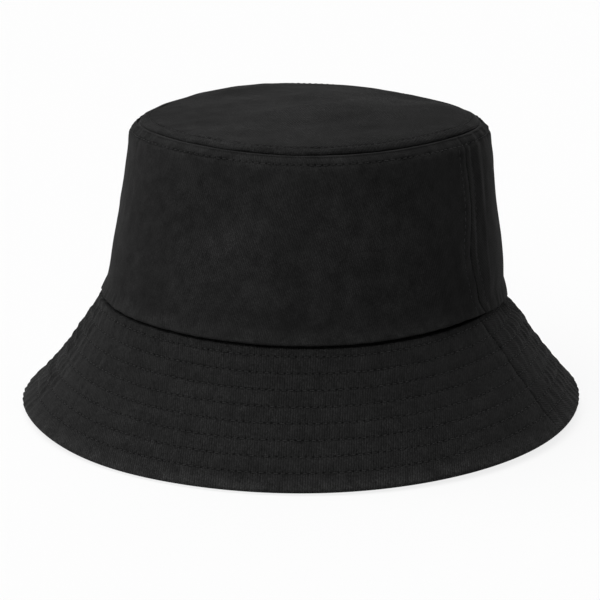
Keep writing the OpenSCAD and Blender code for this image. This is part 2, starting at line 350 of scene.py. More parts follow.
def tip_relief(th, w):
    """Long soft folds across the tip, and the puckered band beside its seam."""

    def rough(cell_round, cell_in, seed, at=w):
        return noise(th * TIP_R, at, cell_round, cell_in, seed, TAU * TIP_R)

    share = 1 - w / TIP_B
    x, y = TIP_B * share * np.sin(th), -TIP_A * share * np.cos(th)
    across, along = 0.94 * x - 0.35 * y + 300, 0.35 * x + 0.94 * y + 300
    open_cloth = ease(3, 16, w)
    r = open_cloth * (0.5 * noise(across, along, 15, 34, 61))
    r += open_cloth * 0.13 * noise(across, along, 6, 13, 62)
    band = np.sin(math.pi * np.clip(w / 5.2, 0, 1))
    r += band * (0.12 + 0.1 * rough(5.5, 8, 63))
    r -= 0.3 * hump(w, TIP_STITCH, 0.7)
    r += 0.14 * rough(4.4, 7, 64) * np.exp(-np.maximum(w - 5, 0) / 4) * (w > 5)
    edge = 0.15 + 0.1 * rough(4.5, 8, 65, 0 * w)
    return r * ease(0.6, 2.2, w) + edge * np.exp(-(np.maximum(w - EDGE_AT, 0) / 0.8))


# ---- Meshes ----

NO_STITCH = 1.0  # stitch coordinates, in stitches and metres, where no row is near
FAR_OFF = 50.0  # distance from the row where the cloth turns away from it


def add_object(name, data):
    obj = bpy.data.objects.new(name, data)
    scene.collection.objects.link(obj)
    return obj


def new_object(name, points, faces, uvs):
    """A smooth mesh in metres, from points, faces (one array of indices per size) and loop UVs."""
    mesh = bpy.data.meshes.new(name)
    sizes = np.concatenate([np.full(len(f), f.shape[1]) for f in faces]).astype(np.int32)
    loops = np.concatenate([f.ravel() for f in faces]).astype(np.int32)
    mesh.vertices.add(len(points))
    mesh.vertices.foreach_set("co", (points * MM).astype(np.float32).ravel())
    mesh.loops.add(len(loops))
    mesh.loops.foreach_set("vertex_index", loops)
    mesh.polygons.add(len(sizes))
    starts = np.concatenate([[0], np.cumsum(sizes)[:-1]]).astype(np.int32)
    mesh.polygons.foreach_set("loop_start", starts)
    mesh.polygons.foreach_set("loop_total", sizes)
    mesh.update(calc_edges=True)
    mesh.polygons.foreach_set("use_smooth", np.ones(len(sizes), bool))
    for layer, values in uvs.items():
        mesh.uv_layers.new(name=layer).uv.foreach_set("vector", values.astype(np.float32).ravel())
    mesh.validate()
    return add_object(name, mesh)


def by_size(polygons):
    """Polygons with (vertex, place) corners, as one array of vertices and one of places per size."""
    faces, places = [], []
    for size in sorted({len(p) for p in polygons}):
        alike = [p for p in polygons if len(p) == size]
        faces.append(np.array([[vertex for vertex, _ in p] for p in alike]))
        places.append(np.array([[place for _, place in p] for p in alike]))
    return faces, places


def sheet(name, outer, inner, cols, rows, cloth, closed=False, flip=False, capped=False, stitch=None):
    """A closed sheet of cloth: a fine outer grid and a coarse inner one that keeps cols and rows.

    Columns run round the head and rows upwards, or downwards with flip. cloth holds the weave's
    coordinates on the outer grid, with one more column if closed. A capped sheet has one face over
    its last row on either side. stitch(column, row, face row) gives the place in stitches along
    the nearest row of stitching and the distance from it.
    """
    n, m = outer.shape[:2]
    k, r = len(cols), len(rows)
    ends = [*cols, n] if closed else cols
    points = settle(np.concatenate([outer.reshape(-1, 3), inner.reshape(-1, 3)]))

    def fine(column, row):
        return (column % n) * m + row, (column, row)

    def coarse(a, b):
        return n * m + (a % k) * r + b, (ends[a], rows[b])

    i, j = np.meshgrid(np.arange(n if closed else n - 1), np.arange(m - 1), indexing="ij")
    i, j = i.ravel(), j.ravel()
    corners = (fine(i, j), fine(i + 1, j), fine(i + 1, j + 1), fine(i, j + 1))
    quads = np.stack([vertex for vertex, _ in corners], -1)
    quad_places = np.stack([np.stack(place, -1) for _, place in corners], 1)
    polygons = []
    for a in range(len(ends) - 1):
        steps = range(ends[a], ends[a + 1] + 1)
        for b in range(r - 1):
            polygons.append([coarse(a, b), coarse(a, b + 1), coarse(a + 1, b + 1), coarse(a + 1, b)])
        polygons.append([fine(c, 0) for c in reversed(steps)] + [coarse(a, 0), coarse(a + 1, 0)])
        if not capped:
            polygons.append([fine(c, m - 1) for c in steps] + [coarse(a + 1, r - 1), coarse(a, r - 1)])
    if capped:
        polygons.append([fine(c, m - 1) for c in range(n)])
        polygons.append([coarse(a, r - 1) for a in reversed(range(k))])
    for b in range(0 if closed else r - 1):
        steps = range(rows[b], rows[b + 1] + 1)
        far_end = [coarse(k - 1, b), coarse(k - 1, b + 1)]
        polygons.append([fine(0, s) for s in steps] + [coarse(0, b + 1), coarse(0, b)])
        polygons.append([fine(n - 1, s) for s in reversed(steps)] + far_end)
    faces, places = by_size(polygons)
    faces, places = [quads] + faces, [quad_places] + places
    if flip:
        faces = [f[:, ::-1] for f in faces]
        places = [p[:, ::-1] for p in places]
    flat = np.concatenate([p.reshape(-1, 2) for p in places])
    sewn = np.full((len(flat), 2), NO_STITCH)
    if stitch:
        count = quads.size
        sewn[:count] = stitch(flat[:count, 0], flat[:count, 1], np.repeat(j, 4))
    uvs = {"cloth": cloth[flat[:, 0], flat[:, 1]] * MM, "stitch": sewn}
    return new_object(name, points, faces, uvs)


def spaced(length, step, fine=(0.0, 0.22, 0.45, 0.7, 0.95, 1.25, 1.65, 2.2, 2.9)):
    """Places from 0 to length, close together at both ends."""
    middle = np.linspace(fine[-1], length - fine[-1], round((length - 2 * fine[-1]) / step) + 1)
    return np.concatenate([fine[:-1], middle, length - np.array(fine[:-1])[::-1]])


def some(count, step):
    """Every so many of count places, and the last one."""
    return np.unique(np.append(np.arange(0, count, step), count - 1))


def turned(points, lean):
    """Weave coordinates across and along the wales, which lean by these degrees."""
    x, y = points[..., 0], points[..., 1]
    c, s = math.cos(math.radians(lean)), math.sin(math.radians(lean))
    return np.stack([x * c - y * s, x * s + y * c], -1)


def fan(radius, spread):
    """Flat pattern of a panel that bends round the head: a sector, by radius and angle."""
    return np.stack([radius * np.sin(spread), -radius * np.cos(spread)], -1)


def stitch_count(radius):
    """Stitches in a whole row of this mean radius."""
    return round(TAU * radius / STITCH)


# ---- Crown side: two panels, each turned under at the hem and turned in at the tip ----

HEM_FROM, HEM_TURN = 1.4, 0.9  # height of the hem's fold, and its radius
TOP_TO = CROWN_TOP - FOLD_R
CROWN_ROW_R = 84.0  # mean radius of the stitching under the tip seam
CONE_RADIUS = 430  # radius of the panels' flat pattern at half height
SEAM_INSET = 0.08  # half the gap between two panels at a seam
CROWN_STEP = 0.74  # width of the grid's columns


def crown_rows():
    """Heights of the grid's rows, and how far each has turned about a fold."""
    wall = np.concatenate(
        [
            np.linspace(HEM_FROM, 10, 18),
            np.linspace(10, CROWN_H - 8, 56)[1:],
            np.linspace(CROWN_H - 8, TOP_TO, 16)[1:],
        ]
    )
    low = np.linspace(math.radians(112), 0, 8)[:-1]
    high = np.linspace(0, math.radians(105), 8)[1:]
    h = np.concatenate([np.full(len(low), HEM_FROM), wall, np.full(len(high), TOP_TO)])
    return h, np.concatenate([-low, np.zeros(len(wall)), high])


def crown_face(th, h, bend, depth, relief):
    """The side's surface, or what lies this deep inside it, where it has turned by bend."""
    fold = np.where(bend > 0, FOLD_R, HEM_TURN)
    radius = fold - depth
    off = relief + radius * np.cos(bend) - fold
    return crown_at(th, h, off, radius * np.sin(bend))


def crown_panel(name, middle, start, end):
    h, turns = crown_rows()
    arc = spaced((end - start) * HEAD_R - 2 * SEAM_INSET, CROWN_STEP)
    th = start + (arc + SEAM_INSET) / HEAD_R
    th2, h2 = np.meshgrid(th, h, indexing="ij")
    th2 = th2 + crown_sway(h2) / HEAD_R
    bend = np.broadcast_to(turns, th2.shape)
    relief = crown_relief(th2, h2)
    outer = crown_face(th2, h2, bend, 0, relief)
    cols, rows = some(len(th), 6), some(len(h), 3)
    few = np.ix_(cols, rows)
    inner = crown_face(th2[few], h2[few], bend[few], TWILL, relief[few] * 0.6 - 0.1)
    run = h2 + np.where(bend > 0, FOLD_R, HEM_TURN) * bend
    flat = fan(CONE_RADIUS - (run - CROWN_H / 2), (th2 - middle) * HEAD_R / CONE_RADIUS)
    count = stitch_count(CROWN_ROW_R)

    def stitch(c, r, low):
        away = np.where(turns[r] > 0, FAR_OFF, h2[c, r] - CROWN_ROW)
        return np.stack([th2[c, r] / TAU * count, away * MM], -1)

    weave = turned(flat, -30)
    return sheet(name, outer, inner, cols, rows, weave, stitch=stitch)


# ---- Brim: an upper ply that turns round the rim, an under ply, and the layer between ----

ROLL = BRIM_T / 2  # radius of the rim's turn
RIM_SQUASH = 0.7  # the turn is pressed flat to this share of its depth
ROWS_HIGHER = 0.8  # how much nearer to the brim seam the rows lie at the right
FLAT_RADIUS = 150  # radius of the flat pattern at the seam
FLAT_SHARE = 0.6  # angle of the flat pattern for each radian round the head
BRIM_STEP = 0.8  # width of the grid's columns


def row_s(row):
    return FIRST + row * PITCH


def row_count(row):
    return stitch_count(HEAD_R + 0.55 * row_s(row))


def nearest_row(s):
    return np.clip(np.round((s - FIRST) / PITCH), 0, ROWS - 1).astype(int)


def reach(th, s):
    """Distance from the seam: as given up to the last row, then stretched to the rim."""
    higher = ROWS_HIGHER * near(th, RIGHT_SEAM, 25)
    moved = LAST - higher
    rim = moved + (s - LAST) * (brim_w(th) - moved) / (BRIM_W - LAST)
    return np.where(s > LAST, rim, s - higher * ease(0, 4, s))


def brim_rows():
    """Distances of the grid's rows down the brim, and how far each has turned round the rim."""
    by_row = np.array([-1.1, -0.6, -0.25, 0, 0.25, 0.6, 1.1, 2.2, 3.5, 4.8])
    to_rim = np.array([2.9, 3.7, 4.4, 4.9, 5.3, 5.6, 5.85, 6.1, 6.4, 6.75])
    steps = [np.array([-3.0, -2.0, -1.0, -0.3, 0.3, 0.9, 1.6, 2.3])]
    steps += [row_s(row) + by_row for row in range(ROWS - 1)]
    steps += [LAST + by_row[:8], LAST + to_rim]
    s = np.unique(np.round(np.concatenate(steps), 3))
    roll = np.linspace(0, math.pi, 14)[1:]
    return np.concatenate([s, np.full(len(roll), BRIM_W - ROLL)]), np.concatenate([0 * s, roll])


def brim_grid(middle, s, every, inset):
    """Angles and distances of a half brim's grid, whose columns bow with the seam at each end."""
    half = math.pi * BRIM_R
    arc = spaced(half - 2 * inset, BRIM_STEP)
    share = (arc[some(len(arc), every)] + inset) / half
    th = middle - math.pi / 2 + share[:, None] * math.pi + (brim_jog(s) / BRIM_R)[None, :]
    return th, np.broadcast_to(s, th.shape)


def brim_flat(th, s, middle):
    return fan(FLAT_RADIUS + s, (th - middle) * FLAT_SHARE)


def brim_stitch(th, s, roll):
    """Stitch coordinates on a grid with these angles, distances and turns round the rim."""
    face_row = nearest_row((s[:-1] + s[1:]) / 2)
    counts = np.array([row_count(row) for row in range(ROWS)])

    def stitch(c, r, low):
        row = face_row[low]
        away = np.where(roll[r] > 0, FAR_OFF, s[r] - row_s(row))
        return np.stack([th[c, r] / TAU * counts[row], away * MM], -1)

    return stitch


def brim_top(name, middle):
    s, roll = brim_rows()
    th, s2 = brim_grid(middle, s, 1, SEAM_INSET)
    bend = np.broadcast_to(roll, th.shape)
    relief = brim_relief(th, s2) * np.cos(np.clip(bend, 0, math.pi / 2))

    def face(pick, depth, rough):
        t, b = th[pick], bend[pick]
        radius = ROLL - depth
        off = rough + (radius * np.cos(b) - ROLL) * np.where(b > 0, RIM_SQUASH, 1)
        along = radius * np.sin(b)
        a = slope(t, s2[pick])
        step = out_dir(t) * (along * np.cos(a))[..., None]
        step[..., 2] -= along * np.sin(a)
        return brim_at(t, reach(t, s2[pick]), off) + step

    cols, rows = some(len(th), 6), some(len(s), 4)
    few = np.ix_(cols, rows)
    outer = face((slice(None), slice(None)), 0, relief)
    inner = face(few, TWILL, relief[few] * 0.3 - 0.05)
    weave = turned(brim_flat(th, s2 + ROLL * bend, middle), -14)
    stitch = brim_stitch(th, s, roll)
    return sheet(name, outer, inner, cols, rows, weave, flip=True, stitch=stitch)


def brim_under(name, middle):
    by_row = np.array([-1, -0.4, 0, 0.4, 1, 2.6, 4.4])
    s = np.concatenate([[-0.5, 0.6, 1.8], *[row_s(row) + by_row for row in range(ROWS)]])
    s = np.append(s[s < 56], [56.5, 57.6, 58.6, 59.4])
    th, s2 = brim_grid(middle, s, 3, 0.0)
    fade = ease(0, 2.5, BRIM_W - ROLL - 0.4 - s2)
    rise = 0.8 * ease(52, 58.5, s2)
    outer = brim_at(th, reach(th, s2), rise - BRIM_T - brim_relief(th, s2, True) * 0.8 * fade)
    cols, rows = some(len(th), 3), some(len(s), 3)
    few = np.ix_(cols, rows)
    inner = brim_at(th[few], reach(th[few], s2[few]), rise[few] - BRIM_T + TWILL)
    weave = turned(brim_flat(th, s2, middle), 10)
    stitch = brim_stitch(th, s, 0 * s)
    return sheet(name, outer, inner, cols, rows, weave, stitch=stitch)


def brim_stiffener(name, middle):
    s = np.linspace(1.6, 53.0, 15)
    th, _ = brim_grid(middle, 0 * s, 9, 2.5)
    s2 = np.broadcast_to(s, th.shape)
    outer = brim_at(th, reach(th, s2), -FELT_D)
    inner = brim_at(th, reach(th, s2), -FELT_D - FELT_T)
    cols, rows = np.arange(len(th)), np.arange(len(s))
    return sheet(name, outer, inner, cols, rows, brim_flat(th, s2, middle), flip=True)


# ---- Tip: one panel whose edge rolls under all round ----

TIP_ROW_R = 76.0  # mean radius of the stitching on the tip
TIP_COLUMNS = 432


def crown_tip(name):
    wide = np.concatenate([np.linspace(EDGE_AT, 9, 24), np.linspace(9, 73, 35)[1:], [74.0, 74.8]])
    roll = np.linspace(math.radians(-75), math.radians(75), 9)
    w = np.concatenate([0 * roll + EDGE_AT, wide])
    under = np.concatenate([math.pi / 2 - roll, 0 * wide])
    th = np.linspace(0, TAU, TIP_COLUMNS + 1)
    th2, w2 = np.meshgrid(th, w, indexing="ij")
    relief = tip_relief(th2, w2)
    bend = np.broadcast_to(under, th2.shape)

    def face(pick, rough, thick):
        radius = FOLD_R - (TWILL - thick) * 0.6
        at = tip_at(th2[pick], w2[pick] - radius * np.sin(bend[pick]), rough + thick)
        at[..., 2] += radius * (np.cos(bend[pick]) - 1)
        return at

    whole = face((slice(None), slice(None)), relief, TWILL)
    cols, rows = np.arange(0, TIP_COLUMNS, 4), some(len(w), 3)
    few = np.ix_(cols, rows)
    inner = face(few, relief[few] * 0.7, 0.2)
    # The flat pattern keeps each point's direction and its distance over the cloth
    step = np.linalg.norm(whole[:, :-1] - whole[:, 1:], axis=-1)
    last = np.hypot(whole[:, -1:, 0], whole[:, -1:, 1])
    run = np.concatenate([last + np.cumsum(step[:, ::-1], axis=1)[:, ::-1], last], axis=1)
    plan = whole[..., :2] / np.hypot(whole[..., :1], whole[..., 1:2]) * run[..., None]
    count = stitch_count(TIP_ROW_R)

    def stitch(c, r, low):
        return np.stack([th[c] / TAU * count, (w[r] - TIP_STITCH) * MM], -1)

    weave = turned(plan, -9)
    return sheet(name, whole[:-1], inner, cols, rows, weave, closed=True, capped=True, stitch=stitch)


# ---- Inside: sweatband, tapes and label ----

def band_at(th, h, depth):
    """The sweatband runs straight from its lower edge to its upper one, inside the swelling crown."""
    f = (h / BAND_H)[..., None]
    low = crown_at(th, 0 * h, -depth)
    high = crown_at(th, 0 * h + BAND_H, -depth)
    return low * (1 - f) + high * f


def ring_sheet(
    name, place, rows, depth, thick, th, closed=False, radius=HEAD_R, rounding=0.25, wavy=0.05, seed=70
):
    """A band inside the hat: place(th, h, depth) at rows, with its long edges rounded.

    radius sets the scale of its weave round the head, and wavy the height of its unevenness.
    """
    edge = np.array([0.0, 0.35, 0.8]) * rounding * 2
    tuck = np.array([rounding, rounding * 0.3, 0])
    h = np.concatenate([rows[0] + edge, rows[1:-1], rows[-1] - edge[::-1]])
    tuck = np.concatenate([tuck, 0 * rows[1:-1], tuck[::-1]])
    full = np.append(th, th[0] + TAU) if closed else th
    th2, h2 = np.meshgrid(full, h, indexing="ij")
    sway = wavy * noise(th2 * HEAD_R, h2, 9, 14, seed, TAU * HEAD_R)
    face = place(th2, h2, depth + thick + sway - tuck)[: len(th)]
    back = place(th2, h2, depth + sway + tuck * 0.4)[: len(th)]
    cols, rows = np.arange(len(th)), np.arange(len(h))
    weave = turned(np.stack([th2 * radius, h2], -1), 35)
    return sheet(name, face, back, cols, rows, weave, closed=closed, flip=True)


def sweatband(name):
    th = np.linspace(0, TAU, 361)[:-1]
    rows = np.linspace(0.3, BAND_H, 14)
    return ring_sheet(name, band_at, rows, BAND_D, BAND_T, th, closed=True)


def tip_tape(name):
    """Bends over the tip seam, from the crown side to the underside of the tip."""

    def place(th, run, depth):
        side = crown_at(th, np.minimum(CROWN_TOP - TIP_STITCH + run, CROWN_TOP), -depth)
        roof = tip_at(th, np.clip(run - TIP_STITCH, 0.0, 40) + 1.9 + depth * 0.8, -depth + 0.4)
        f = ease(TIP_STITCH - 1.6, TIP_STITCH + 1.6, run)[..., None]
        return side * (1 - f) + roof * f

    th = np.linspace(0, TAU, 289)[:-1]
    rows = np.linspace(0.2, 2 * TIP_STITCH, 15)
    return ring_sheet(name, place, rows, TAPE_D, TAPE_T, th, closed=True, radius=TIP_R, seed=71)


def side_tape(name, side):
    def place(th, h, depth):
        return crown_at(th + crown_sway(h) / HEAD_R, h, -depth)

    th = side + np.linspace(-6, 6, 13) / HEAD_R
    rows = np.linspace(2.25, CROWN_ROW - 0.6, 26)
    return ring_sheet(name, place, rows, TAPE_D, TAPE_T, th, wavy=0.04, seed=72)


def blank_label(name):
    th = math.pi + np.linspace(-LABEL_W / 2, LABEL_W / 2, 35) / HEAD_R
    low = (BAND_H - LABEL_H) / 2
    rows = np.linspace(low, low + LABEL_H, 12)
    return ring_sheet(name, band_at, rows, LABEL_D, LABEL_T, th, rounding=0.12, wavy=0.06, seed=73)


# ---- Stitches: short threads that dip into the cloth at both ends ----

THREAD_W = 0.37
THREAD_SIDES = 6
TWIST_STEP = 0.37  # how much further on the twist starts in each next stitch


def threads(name, groups, seed):
    """groups holds (centres, tangents, normals, lengths) for each line of stitching."""
    centre, tangent, normal, length = (np.concatenate(parts) for parts in zip(*groups))
    rng = np.random.default_rng(seed)
    count = len(centre)
    length = length * (0.94 + 0.12 * rng.random(count))
    across = np.cross(tangent, normal)
    yaw = rng.normal(0, 0.035, count)[:, None]
    tangent = tangent * np.cos(yaw) + across * np.sin(yaw)
    across = np.cross(tangent, normal)
    centre = centre + across * rng.normal(0, 0.02, count)[:, None]
    # Cuts along a thread: their place from -1 to 1, height and radius
    x = np.array([-1.0, -0.72, 0.0, 0.72, 1.0])
    height = np.array([-0.32, 0.08, 0.16, 0.08, -0.32])
    girth = np.array([0.6, 0.95, 1.0, 0.95, 0.6]) * THREAD_W / 2
    cuts, sides = len(x), THREAD_SIDES
    turns = np.arange(sides) / sides * TAU
    # Points by thread, cut and side
    centre, tangent, normal, across = (v[:, None, None] for v in (centre, tangent, normal, across))
    along = (x * length[:, None] / 2)[..., None, None]
    spine = centre + tangent * along + normal * height[:, None, None]
    ring = normal * np.cos(turns)[:, None] + across * np.sin(turns)[:, None]
    points = spine + ring * girth[:, None, None]
    base = np.arange(count)[:, None, None] * cuts * sides
    i, k = np.meshgrid(np.arange(cuts - 1), np.arange(sides), indexing="ij")
    here, there = i * sides + k, i * sides + (k + 1) % sides
    quads = np.stack([here, there, there + sides, here + sides], -1) + base[..., None]
    caps = np.stack([np.arange(sides)[::-1], (cuts - 1) * sides + np.arange(sides)]) + base
    faces = [quads.reshape(-1, 4), caps.reshape(-1, sides)]
    local = np.stack(np.meshgrid(x * 1.2, turns * THREAD_W / 2, indexing="ij"), -1).reshape(-1, 2)
    offsets = np.arange(count)[:, None, None] * np.array([TWIST_STEP, 0.0])
    spots = (local + offsets).reshape(-1, 2)
    loops = np.concatenate([f.ravel() for f in faces])
    return new_object(name, points.reshape(-1, 3), faces, {"cloth": spots[loops] * MM})


def line_of(place, start, end, count, length=THREAD_RUN):
    """Stitches along place(t) from start to end, where place gives points and outward normals."""
    t = start + (np.arange(count) + 0.5) / count * (end - start)
    point, normal = place(t)
    ahead, _ = place(t + (end - start) / count * 0.05)
    tangent = ahead - point
    tangent /= np.linalg.norm(tangent, axis=-1, keepdims=True)
    normal = normal - (normal * tangent).sum(-1, keepdims=True) * tangent
    normal /= np.linalg.norm(normal, axis=-1, keepdims=True)
    return settle(point), tangent, normal, np.full(count, float(length))


def lean(th, up):
    """Outward directions that rise by this angle."""
    n = out_dir(th) * np.cos(up)[..., None]
    n[..., 2] = np.sin(up)
    return n


def brim_line(row, under=False):
    def place(th):
        s = np.full_like(th, row_s(row))
        rough = brim_relief(th, s, under)
        out = lean(th, math.pi / 2 - slope(th, s))
        if under:
            return brim_at(th, reach(th, s), -BRIM_T - rough * 0.8), -out
        return brim_at(th, reach(th, s), rough), out

    return line_of(place, 0, TAU, row_count(row))


def crown_line():
    def place(th):
        h = np.full_like(th, CROWN_ROW)
        return crown_at(th, h, crown_relief(th, h)), lean(th, 0 * th + 0.2)

    return line_of(place, 0, TAU, stitch_count(CROWN_ROW_R))


def tip_line():
    def place(th):
        w = np.full_like(th, TIP_STITCH)
        return tip_at(th, w, tip_relief(th, w) + TWILL), lean(th, 0 * th + 1.1)

    return line_of(place, 0, TAU, stitch_count(TIP_ROW_R))


def side_line(side, away):
    def place(h):
        th = side + away / HEAD_R + crown_sway(h) / HEAD_R
        return crown_at(th, h, crown_relief(th, h)), lean(th, 0 * th + 0.1)

    return line_of(place, 3.0, CROWN_ROW - 0.6, 25)


def band_line():
    def place(th):
        h = np.full_like(th, BAND_ROW)
        return band_at(th, h, BAND_D + BAND_T), -lean(th, 0 * th)

    return line_of(place, 0, TAU, 200, 2.1)


# ---- Finishes ----


class Nodes:
    """Small helper to lay out a material's nodes; every value below is a socket or a number."""

    def __init__(self, name):
        self.material = bpy.data.materials.new(name)
        self.material.use_nodes = True
        self.tree = self.material.node_tree
        self.surface = self.tree.nodes["Principled BSDF"]

    def link(self, value, socket):
        if isinstance(value, bpy.types.NodeSocket):
            self.tree.links.new(value, socket)
        else:
            socket.default_value = value

    def node(self, kind, inputs, output=0, operation=None):
        """One output of a new node, by the values of its inputs."""
        node = self.tree.nodes.new("ShaderNode" + kind)
        if operation:
            node.operation = operation
        for key, value in inputs.items():
            self.link(value, node.inputs[key])
        return node.outputs[output]

    def math(self, operation, a, b=0.0, c=0.0):
        return self.node("Math", {0: a, 1: b, 2: c}, 0, operation)

    def times(self, a, b):
        return self.math("MULTIPLY", a, b)

    def vector(self, operation, vector, other=(0, 0, 0), output="Vector"):
        return self.node("VectorMath", {0: vector, 1: other}, output, operation)

    def scaled(self, colour, factor):
        return self.node("VectorMath", {0: colour, "Scale": factor}, 0, "SCALE")

    def combined(self, x, y):
        return self.node("CombineXYZ", {0: x, 1: y})

    def object_space(self):
        return self.node("TexCoord", {}, "Object")

    def uv(self, layer):
        node = self.tree.nodes.new("ShaderNodeUVMap")
        node.uv_map = layer
        where = node.outputs[0]
        return where, self.node("SeparateXYZ", {0: where}, 0), self.node("SeparateXYZ", {0: where}, 1)

    def noise(self, vector, scale, detail, roughness, stretch=None):
        if stretch:
            vector = self.node("Mapping", {"Vector": vector, "Scale": stretch})
        inputs = {"Vector": vector, "Scale": scale, "Detail": detail, "Roughness": roughness}
        return self.node("TexNoise", inputs)

    def ramp(self, value, low, high, to_low=0.0, to_high=1.0):
        node = self.tree.nodes.new("ShaderNodeMapRange")
        node.interpolation_type = "SMOOTHSTEP"
        for k, v in enumerate((value, low, high, to_low, to_high)):
            self.link(v, node.inputs[k])
        return node.outputs[0]

    def bump(self, height, distance, strength=1.0, normal=None):
        inputs = {"Strength": strength, "Distance": distance, "Height": height}
        if normal is not None:
            inputs["Normal"] = normal
        return self.node("Bump", inputs)

    def wave(self, x, length):
        return self.math("SINE", self.times(x, TAU / length))

    def centred(self, value):
        return self.math("SUBTRACT", value, 0.5)

    def toned(self, shade, mask, amount):
        """shade, paler by this share of it where mask is 1."""
        return self.times(shade, self.math("MULTIPLY_ADD", mask, amount, 1.0))

    def finish(self, colour, roughness, normal, **constants):
        self.link(colour, self.surface.inputs["Base Color"])
        self.link(roughness, self.surface.inputs["Roughness"])
        if normal is not None:
            self.link(normal, self.surface.inputs["Normal"])
        for name, value in constants.items():
            self.surface.inputs[name.replace("_", " ")].default_value = value
        return self.material


WALE = 1.0 * MM  # distance between the diagonal ridges of the twill


def twill_weave(g, where, x, y):
    """Height of the weave: diagonal wales of short floats, each wale a step on from the last."""
    drift = g.times(g.centred(g.noise(where, 900, 2, 0.5)), WALE * 0.9)
    p = g.math("DIVIDE", g.math("ADD", x, drift), WALE)
    ridge = g.math("MULTIPLY_ADD", g.wave(p, 1), 0.5, 0.5)
    step = g.times(g.math("FLOOR", p), 0.37)
    q = g.math("FRACT", g.math("ADD", g.math("DIVIDE", y, WALE * 0.75), step))
    float_end = g.ramp(g.math("ABSOLUTE", g.centred(q)), 0.28, 0.5)
    return g.toned(ridge, float_end, -0.4)


def needle_marks(g, shade, normal, along, away, painted_ditch_shade):
    """Painted shade in the needle holes at both ends of every stitch and in a ditch that runs along the row;
    the holes are also bumped in.
    """
    from_hole = g.centred(g.math("FRACT", g.math("ADD", along, 0.5)))
    from_hole = g.times(from_hole, STITCH * MM)
    far = g.math("SQRT", g.math("ADD", g.math("POWER", from_hole, 2), g.math("POWER", away, 2)))
    hole = g.ramp(far, 0.2 * MM, 0.48 * MM, 1.0, 0.0)
    ditch = g.ramp(g.math("ABSOLUTE", away), 0.2 * MM, 0.8 * MM, 1.0, 0.0)
    # Painted shade in the holes and along the ditch
    shade = g.toned(g.toned(shade, hole, -0.7), ditch, -painted_ditch_shade)
    return shade, g.bump(g.times(hole, -1.0), 0.3 * MM, 0.6, normal)


def gathers(g, along, away, per_stitch, per_metre):
    """Short puckers across a row, from -0.5 to 0.5."""
    place = g.combined(g.times(along, per_stitch), g.times(away, per_metre))
    return g.centred(g.noise(place, 1.0, 1, 0.5))


def twill_cloth(
    name, dyed, cloudy, spotted, grainy, fuzzy, ribbed, slub, depth=0.00012, sheen=0.025,
    painted_ditch_shade=0.2, painted_shade=0.0, painted_shade_to=(1, 0.5, 0), painted_shade_over=(-0.05, 0.05), wear_and_light=0.0, edge=0.0, painted_pucker_shade=0.0,
):
    """Washed cotton twill, with a soft nap and the marks of its rows of stitching.

    dyed is its colour, a deep grey. cloudy, spotted, grainy and fuzzy give how much that varies in
    ever smaller spots, and ribbed how much it does from wale to wale. The smallest spots are round
    with a slub of 1, and longer along the wales with less. painted_shade is how much painted shade
    darkens it towards painted_shade_to, between the two distances in painted_shade_over. wear_and_light
    is how much paler it gets by the panel's edge, which lies that far from the weave's origin, partly
    from wear and partly as painted light. painted_pucker_shade is how much painted light and shade
    streak it where the rows pucker, and painted_ditch_shade how much painted shade darkens the ditch
    along each row.
    """
    g = Nodes(name)
    where, x, y = g.uv("cloth")
    _, along, away = g.uv("stitch")
    place = g.object_space()
    weave = twill_weave(g, where, x, y)
    fuzz = g.noise(where, 2600, 2, 0.6, stretch=(1, slub, 1))
    grain = g.noise(where, 1000, 2, 0.65, stretch=(1, slub, 1))
    nap = g.noise(where, 520, 3, 0.6)
    cloud = g.noise(place, 34, 4, 0.6)
    spots = g.noise(place, 190, 4, 0.65)
    normal = g.bump(g.math("ADD", weave, g.times(g.math("ADD", fuzz, nap), 0.35)), depth)
    shade = 1.0
    for value, amount in ((cloud, cloudy), (spots, spotted), (weave, ribbed), (fuzz, fuzzy), (grain, grainy)):
        shade = g.toned(shade, g.centred(value), amount)
    # Paler along the panel's outer edge, partly from wear and partly as painted light
    radius = g.vector("LENGTH", where, output="Value")
    shade = g.toned(shade, g.times(g.ramp(radius, edge - 8 * MM, edge - MM), wear_and_light), spots)
    # Painted shade: darker towards one side, the side away from the lights
    towards_shade = g.vector("DOT_PRODUCT", place, painted_shade_to, "Value")
    shade = g.times(shade, g.ramp(towards_shade, *painted_shade_over, 1.0, 1.0 - painted_shade))
    shade, normal = needle_marks(g, shade, normal, along, away, painted_ditch_shade)
    # Fine puckers that the thread draws across each row, bumped, with their light and shade also painted into
    # the colour
    close = g.ramp(g.math("ABSOLUTE", away), 0.4 * MM, 3.4 * MM, 1.0, 0.0)
    patchy = g.ramp(g.noise(place, 26, 1, 0.5), 0.35, 0.65, 0.25, 1.0)
    fine = g.times(gathers(g, along, away, 1.6, 110), g.times(close, patchy))
    shade = g.toned(shade, fine, 0.7)
    normal = g.bump(fine, 0.5 * MM, 1.0, normal)
    # Painted light and shade in streaks across the rows where they gather the cloth most, for the puckers
    # there
    level = g.vector("NORMALIZE", g.vector("MULTIPLY", place, (1, 1, 0)))
    pucker_dir = (math.cos(PUCKER_AXIS), math.sin(PUCKER_AXIS), 0)
    towards = g.math("ABSOLUTE", g.vector("DOT_PRODUCT", level, pucker_dir, "Value"))
    shade = g.toned(shade, gathers(g, along, away, 0.85, 60), g.ramp(towards, 0.86, 0.97, 0.0, painted_pucker_shade))
    return g.finish(
        g.scaled((dyed, dyed, dyed), shade), g.math("MULTIPLY_ADD", nap, 0.1, 0.84), normal,
        Specular_IOR_Level=0.05, Sheen_Weight=sheen, Sheen_Roughness=0.3,
    )


